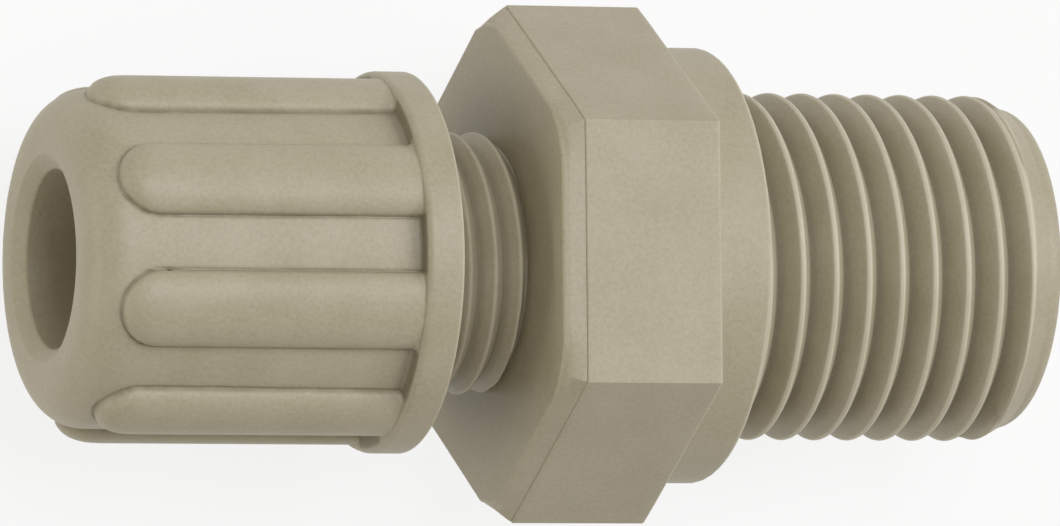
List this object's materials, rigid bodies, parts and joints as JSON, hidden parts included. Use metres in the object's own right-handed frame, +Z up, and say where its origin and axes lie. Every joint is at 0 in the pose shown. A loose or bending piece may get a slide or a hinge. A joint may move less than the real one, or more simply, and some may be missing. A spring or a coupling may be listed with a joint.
{
  "type": "plastic tube fitting",
  "caption": "Straight plastic tube fitting: hexagon body with flange and male pipe thread, ribbed union nut on a threaded stud, split clamp ring inside.",
  "frame": {"origin": "middle of the flange's sealing face, on the fitting's axis, where the male thread starts", "axes": "+X along the axis out of the male thread, +Z up out of one hexagon flat; the fitting lies on the opposite flat"},
  "size_m": [0.0385, 0.0196, 0.017],
  "materials": {
    "moulded_plastic": "matte moulded pebble grey",
    "ring_plastic": "matte natural, uncoloured"
  },
  "bodies": {
    "body": {"fitting_body": "moulded_plastic"},
    "ring": {"clamp_ring": "ring_plastic"},
    "nut": {"union_nut": "moulded_plastic"}
  },
  "joints": [
    {"name": "ring_advance", "type": "slide", "parent": "body", "child": "ring", "axis": [1, 0, 0], "range_m": [-0.004, 0.0025]},
    {"name": "nut_turn", "type": "hinge", "parent": "ring", "child": "nut", "pos_m": [-0.0189, 0, 0], "axis": [1, 0, 0], "range_deg": [-1441, 901]}
  ],
  "couplings": [
    {"joint": "nut_turn", "follows": "ring_advance", "rad_per_m": 6283.2}
  ]
}
